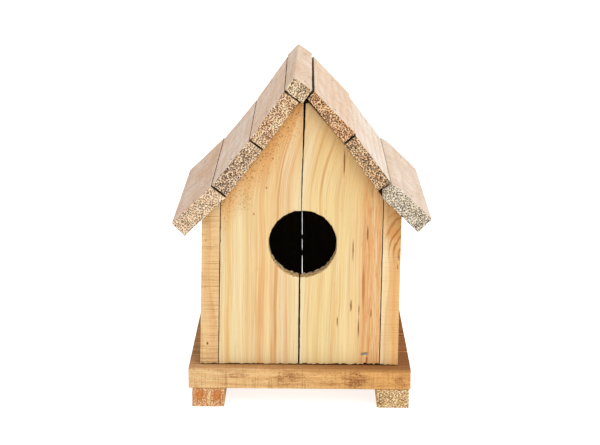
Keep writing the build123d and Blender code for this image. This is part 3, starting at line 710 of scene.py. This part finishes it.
def round_hole(place, side, corners):
    """Moves the flats between a bored rim's corners out to the full bore, and what lies round them less."""
    out = Vector((place.x - HOLE_X, 0, place.z - HOLE_Z))
    angle = rim_angle(place, side)
    for first, second in zip(corners, corners[1:]):
        if first <= angle <= second and out.length < HOLE_R + ROUNDED_OVER:
            flat = HOLE_R * cos((second - first) / 2) / cos(angle - (first + second) / 2)
            share = max(0.0, 1 - (out.length - flat) / ROUNDED_OVER)
            return place + out.normalized() * (HOLE_R - flat) * share
    return place


def front_shape(node, side):
    """The round bore, the joint's opening, the chipped foot and the torn inner rim of the bored hole."""
    points = [v.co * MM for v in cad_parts[node].data.vertices]
    rim = [p for p in points if abs(Vector((p.x - HOLE_X, p.z - HOLE_Z)).length - HOLE_R) < ON_BORE]
    corners = sorted({round(rim_angle(p, side), 3) for p in rim})

    def shape(place):
        place = round_hole(place, side, corners)
        joint_shape(place, FRONT_JOINT, FRONT_LEAN, FRONT_HALF, FRONT_OPENING, 0.16, FRONT_SWAY)
        chip_foot(place, FOOT_Z, RIGHT_CHIPS if place.x > 0 else LEFT_CHIPS)
        out = Vector((place.x - HOLE_X, 0, place.z - HOLE_Z))
        if abs(out.length - HOLE_R) < ON_RIM:
            tooth = noise.noise(out.normalized() * 16.0) + 0.8 * noise.noise(out.normalized() * 37.0)
            if abs(place.y - FRONT_BACK_Y) < ON_FACE:
                place.y -= min(TORN_LIMIT, max(0.0, 0.1 + 1.5 * tooth) * TORN_DEPTH)
            elif abs(place.y - FRONT_FACE_Y) < ON_FACE:
                place += out.normalized() * max(0.0, 0.1 + tooth) * NICK_DEPTH
        return place

    return shape


def front_grain(planed, streaks):
    """Streaks that run up the board, lean a little and bend towards the gable's tip."""
    climb = planed.math("MULTIPLY_ADD", planed.along, 1 / BEND_OVER, -BEND_FROM / BEND_OVER)
    bend = planed.times(planed.math("POWER", planed.math("MAXIMUM", climb, 0.0), 1.5), -GABLE_BEND)
    lean = planed.math("MULTIPLY_ADD", planed.along, -0.012, 0.9)
    wander = planed.math("MULTIPLY_ADD", planed.cloud((26, 26, 75), 2), 5.0, -2.5)
    course = planed.math("ADD", planed.across, planed.math("ADD", bend, planed.math("ADD", lean, wander)))
    planed.colour = planed.shades(course, streaks)
    planed.coat(planed.soft(planed.cloud((14, 14, 60), 2), 0.4, 0.7, 0.0, 0.45), "F4D496")
    upwards = planed.soft(planed.along, 140, 200, 0.0, 0.6)
    planed.coat(planed.times(upwards, planed.cloud((7, 7, 60), 2)), "DE9F52")
    line = planed.join(course, planed.through, planed.along)
    for size, low, high, deep, shade in FINE_STREAKS:
        streak = planed.soft(planed.cloud(size, 2, 0.6, vector=line), low, high)
        planed.coat(planed.times(streak, deep), shade)
    planed.coat(1.0, FRONT_TINT, "MULTIPLY")
    planed.fibres(0.24)
    return course


def resin_and_rust(planed, course):
    """The right board's marks: resin dashes, arches, a brown flame, peach streaks and the staple's rust."""
    for across, height, wide, tall in RESIN_DASHES:
        dash = planed.spot(planed.across, planed.along, (across, height), (wide * 0.9, tall * 1.25), 0.9)
        planed.coat(planed.times(dash, 0.9), "82501F")
    for height, where, half, tall, deep in ARCHES:
        arch = planed.spot(course, planed.along, (where, height), (half, tall), 0.3)
        planed.coat(planed.times(arch, deep), "B97E42")
    flame = planed.spot(planed.across, planed.along, *FLAME, 0.9)
    planed.coat(planed.times(flame, 0.8), "B5703A")
    peach = planed.soft(planed.cloud((0.7, 9, 12), 3, 0.6), 0.5, 0.6)
    planed.coat(planed.times(planed.soft(planed.across, 42.5, 46), peach, 0.6), "CF8148")
    rust = planed.spot(planed.across, planed.along, *RUST, 0.4)
    planed.coat(planed.times(rust, 0.8), "A85A22")


def dots_and_crumbs(planed, slope):
    """The left board's marks: a cluster of dots, crumbs along the gable's edge and three single dots."""
    cluster = planed.spot(planed.across, planed.along, *DOT_CLUSTER, 0.5)
    dots = planed.soft(planed.cloud((1.1, 1.1, 1.3), 1), 0.58, 0.66)
    planed.coat(planed.times(cluster, dots, 0.7), "9A6A3A")
    crumbs = planed.soft(planed.cloud((0.85, 0.85, 0.85), 1), 0.6, 0.66)
    planed.coat(planed.times(planed.soft(slope, 119, 133), crumbs, 0.75), "744820")
    for where in SINGLE_DOTS:
        dot = planed.spot(planed.across, planed.along, where, (0.7, 1.0), 0.3)
        planed.coat(planed.times(dot, 0.7), "8A5A2E")


def bored_rim(planed):
    """Browner wood inside the bore, torn into pale fibres towards the inside."""
    face = planed.math("ABSOLUTE", planed.reach(planed.facing, Y))
    far = planed.far(planed.math("SUBTRACT", planed.across, HOLE_X),
                     planed.math("SUBTRACT", planed.along, HOLE_Z))
    near = planed.soft(far, HOLE_R + 2.0, HOLE_R + 2.6, 1.0, 0.0)
    bore = planed.times(near, planed.soft(face, 0.5, 0.8, 1.0, 0.0))
    fuzz = planed.shades(planed.cloud((0.9, 2.0, 0.9), 2), BORE_SHADES)
    torn = planed.soft(planed.through, -75.5, -72.5, 0.0, 0.8)
    planed.colour = planed.mix(bore, planed.colour, planed.mix(torn, fuzz, wood_colour("FFF2DC")))


for seed, (name, streaks) in enumerate((("left", LEFT_STREAKS), ("right", RIGHT_STREAKS)), start=40):
    planed = Finish(f"front_pine_{name}", GRAIN_FRONT, seed)
    course = front_grain(planed, streaks)
    sideways = planed.math("ABSOLUTE", planed.across)
    slope = planed.math("MULTIPLY_ADD", sideways, 0.79, planed.times(planed.along, 0.61))
    # Painted shade: a warmer orange band along the roof's edge, where the overhang's shade falls.
    overhang_shade = planed.soft(planed.math("MULTIPLY_ADD", planed.cloud((6, 6, 12), 2), 8.0, slope), 123, 138)
    if name == "right":
        planed.coat(planed.times(overhang_shade, 0.35), "F3BE74")
        resin_and_rust(planed, course)
    else:
        planed.coat(planed.times(overhang_shade, 0.6), "E3A154")
        dots_and_crumbs(planed, slope)
    planed.relief(planed.cloud((40, 40, 2.2), 1), 0.02)
    planed.sawn_end(("E6BE86", "D4A468"), *PLAIN_PORES)
    bored_rim(planed)
    # Painted shade: the inner face is coloured near black.
    inside = planed.soft(planed.reach(planed.facing, Y), 0.5, 0.8)
    planed.coat(planed.times(inside, 0.9), INSIDE_PAINTED_SHADE)
    node = f"front_board_{name}"
    shape = front_shape(node, 1 if name == "right" else -1)
    finish = planed.close(0.5, 0.75)
    worn_board(node, finish, GRAIN_FRONT, FRONT_CELL, FRONT_WEAR, seed, PLANED_WAVE, shape)


# Back wall: two plain planed boards nailed on like the front ones, with a thin joint that light comes through
# at the height of the hole. Their inner faces carry painted shade, near black, so that the box looks deep.
BACK_CELL = (0.003, 0.0042, 0.0012)
BACK_WEAR = 0.0004
BACK_JOINT, BACK_LEAN, BACK_HALF = 0.7, -0.4, 0.4
BACK_OPENING = (
    (29, 0.36), (58, 0.20), (73.4, 0.09), (74.4, -0.12), (75.2, -0.12), (76.2, 0.09), (77.2, -0.12),
    (78.0, 0.09), (86.6, 0.09), (87.6, -0.12), (88.4, -0.12), (89.4, 0.10), (108, 0.09), (112, -0.12),
    (230, -0.12))


def back_shape(place):
    joint_shape(place, BACK_JOINT, BACK_LEAN, BACK_HALF, BACK_OPENING, 0.05)
    return place


for seed, (name, pith_across) in enumerate((("left", -30), ("right", 34)), start=50):
    plain = Finish(f"back_pine_{name}", GRAIN_FRONT, seed)
    plain.ground(plain.cloud((12, 12, 90)), "F3D39A", "EDBF80")
    plain.rings((pith_across, 30), 4.2, "DD9F5E", 0.6, 6.0)
    plain.fibres()
    plain.sawn_end(("E6BE86", "D4A468"), *PLAIN_PORES)
    # Painted shade: the inner face is coloured near black.
    inside = plain.soft(plain.reach(plain.facing, Y), -0.8, -0.5, 1.0, 0.0)
    plain.coat(plain.times(inside, 0.94), INSIDE_PAINTED_SHADE)
    node = f"back_board_{name}"
    worn_board(node, plain.close(), GRAIN_FRONT, BACK_CELL, BACK_WEAR, seed, shape=back_shape)


# Roof: three rough-sawn boards down each slope, from front to back, nailed into the gables. Their faces have
# weathered to a pale pinkish beige with cross saw marks, and each sawn end has its own colour and pores.
ROOF_CELL = (0.0026, 0.0030, 0.0035)
ROOF_WEAR, ROOF_WAVE = 0.0008, 0.0002
# which side, and the pitch in degrees
ROOF_SLOPES = {
    "roof_left_upper": (-1, 54.2), "roof_left_middle": (-1, 52.5), "roof_left_eave": (-1, 43.8),
    "roof_right_upper": (1, 51.0), "roof_right_middle": (1, 54.2), "roof_right_eave": (1, 44.0)}
# faces: pale, warm, grey; ends: two ground shades, how dark the pores are, their colour and how many
ROOF_SHADES = {
    "roof_left_upper": ("F0D8C2", "E8C3A4", "D2B49C", ("EACB9C", "E0B27E"), 0.95, "6E3420", 0.62),
    "roof_left_middle": ("EEDAC8", "E8C6A8", "CCB4A2", ("EACAA2", "DCB286"), 0.95, "4A2A20", 0.78),
    "roof_left_eave": ("E8D0BC", "E0B898", "BFA48E", ("EECFAC", "E2BC90"), 0.90, "5A3E2A", 0.45),
    "roof_right_upper": ("EBD6C0", "E8C4A4", "D6B294", ("ECB67A", "DA9A60"), 0.95, "4E2410", 0.72),
    "roof_right_middle": ("F2E6D8", "EED8C2", "E0CAB4", ("E8BC86", "D6A268"), 0.95, "3A1C0A", 0.78),
    "roof_right_eave": ("E8D8C6", "E4CAB2", "D2B8A0", ("E4D6C0", "D6C4A8"), 0.90, "54483A", 0.58)}
JOINT_FACE_DARKENING = 0.95
LIP = 0.75                  # the right upper board's outer edge leans this much over the gap beside the strip
EASED_OVER = 5.0            # a joint's opening dies out this far from the edge
HEWN_DEPTH, HEWN_OVER = 2.6, 9.0                # how deep and how far the right eaves board is hewn down


def roof_finish(name, axes, seed, shades, sides, both_sides):
    """Weathered, rough-sawn pine whose long side faces are painted darker, so that the joints show as dark
    lines: the upper one, or both.
    """
    pale, warm, grey, ends, dots, dark, amount = shades
    finish = Finish(f"{name}_pine", axes, seed)
    finish.ground(finish.soft(finish.cloud((14, 14, 45), 2), 0.35, 0.65), pale, warm)
    finish.coat(finish.soft(finish.cloud((30, 30, 7), 3, 0.6), 0.5, 0.75, 0.0, 0.7), grey)
    finish.rings((-8 + 5 * seed % 17, 40), 5.2, "C9A07C", 0.3, 6.0)
    finish.fibres(0.14)
    finish.saw_marks(0.6, 1.5, "96705A")
    aslant = finish.math("MULTIPLY_ADD", finish.along, 0.5, finish.across)
    slant = finish.join(aslant, finish.through, finish.along)
    scuff = finish.soft(finish.cloud((26, 26, 1.6), 3, 0.6, vector=slant), 0.56, 0.72)
    finish.coat(finish.times(scuff, 0.5), "A07C64")
    speck = finish.soft(finish.cloud((0.7, 0.7, 1.6), 2), 0.58, 0.66)
    finish.coat(finish.times(speck, 0.42), "9A6E4A")
    bare = finish.soft(finish.cloud((0.9, 0.9, 2.6), 2), 0.58, 0.68)
    finish.coat(finish.times(bare, 0.45), "FFF4E6")
    # The long side faces, the walls of the joints between boards, are painted darker so that the joints read
    # as dark lines.
    joint_face = finish.times(finish.reach(finish.facing, axes[0]), -1.0)
    if both_sides:
        joint_face = finish.math("ABSOLUTE", joint_face)
    if sides:
        joint_face_colour = "33200F" if name == "roof_right_upper" else "4A3220"
        finish.coat(finish.times(finish.soft(joint_face, 0.55, 0.85), sides), joint_face_colour)
    finish.sawn_end(ends, dots, dark, amount)
    return finish


def roof_shape(name, axes, low, high):
    """Opens the joints unevenly. The right upper board's lip leans out, and the right eaves one is hewn."""
    downhill, outside, _ = axes
    levels = [v.co.dot(outside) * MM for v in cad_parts[name].data.vertices]
    half_way = (min(levels) + max(levels)) / 2

    def shape(place):
        from_top, from_foot = place.dot(downhill) - low, high - place.dot(downhill)
        on_top = place.dot(outside) > half_way
        slow = noise.noise(Vector((place.y * 0.12, 1.0, from_top * 0.05)))
        shake = slow + 0.6 * noise.noise(Vector((place.y * 0.5, 4.0, 0)))
        opening = 0.12 + 0.3 * shake
        if name == "roof_right_eave":
            place = place - outside * HEWN_DEPTH * max(0.0, 1 - from_top / HEWN_OVER) ** 1.5 * on_top
        elif name == "roof_right_upper":
            lip = max(0.0, 1 - from_top / EASED_OVER) * on_top
            place = place + downhill * (0.6 * shake - LIP) * lip
        elif from_top < EASED_OVER:
            place = place + downhill * max(0.0, opening) * (1 - from_top / EASED_OVER)
        if from_foot < EASED_OVER and "eave" not in name:
            gap = 0.1 + 0.2 * shake + 0.2 * ("upper" in name)
            place = place - downhill * gap * (1 - from_foot / EASED_OVER)
        return place

    return shape


for seed, (name, (side, pitch)) in enumerate(ROOF_SLOPES.items(), start=60):
    downhill = Vector((side * cos(radians(pitch)), 0, -sin(radians(pitch))))
    outside = Vector((side * sin(radians(pitch)), 0, cos(radians(pitch))))
    axes = (downhill, outside, Y)
    joint_face_share = 0.0 if name == "roof_right_eave" else JOINT_FACE_DARKENING
    finish = roof_finish(name, axes, seed, ROOF_SHADES[name], joint_face_share, "eave" not in name)
    reaches = [v.co.dot(downhill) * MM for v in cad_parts[name].data.vertices]
    shape = roof_shape(name, axes, min(reaches), max(reaches))
    worn_board(name, finish.close(0.7, 0.9), axes, ROOF_CELL, ROOF_WEAR, seed, ROOF_WAVE, shape)


# Ridge strip: a hewn stick nailed along the top of the left slope, where it closes the ridge. It is of the
# roof's rough pine, and its right face leans over and widens towards the back.
STRIP_PITCH = radians(54.2)
STRIP_CELL = (0.0022, 0.0022, 0.0035)
STRIP_WEAR = 0.0007
STRIP_SHADES = ("EAD4BE", "E0C0A2", "CDB49C", ("E8CCA0", "DAB080"), 0.98, "44280F", 0.62)
uphill = Vector((cos(STRIP_PITCH), 0, sin(STRIP_PITCH)))
strip_axes = (uphill, Vector((-sin(STRIP_PITCH), 0, cos(STRIP_PITCH))), Y)
strip = roof_finish("ridge_strip", strip_axes, 70, STRIP_SHADES, 0.0, False)
finish = strip.close(0.7, 0.9)
worn_board("ridge_strip", finish, strip_axes, STRIP_CELL, STRIP_WEAR, 70, ROOF_WAVE)


# Brads and staples: flat galvanised wire, dull grey with a little rust. They are driven flush with the wood
# through the walls, the roof, the strip and the base, and keep the shape that the joints were made to.
WIRE_METAL = 0.8
for name in ("front_staple", "back_staples", "side_brads_left", "side_brads_right", "roof_brads_left",
             "roof_brads_right", "ridge_brads", "floor_brads", "base_brads"):
    wire = Finish(f"{name}_wire", GRAIN_FRONT, 80)
    wire.ground(wire.soft(wire.cloud((1.0, 1.0, 1.0), 2), 0.4, 0.7), "A8A49C", "7E7468")
    wire.coat(wire.soft(wire.cloud((2.0, 2.0, 2.0), 2), 0.6, 0.75, 0.0, 0.6), "8A5630")
    wire.relief(wire.cloud((0.4, 0.4, 0.4)), 0.02)
    metal = wire.close(0.35, 0.6)
    wire.shader.inputs["Metallic"].default_value = WIRE_METAL
    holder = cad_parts[name]
    holder.data.materials.clear()
    holder.data.materials.append(metal)
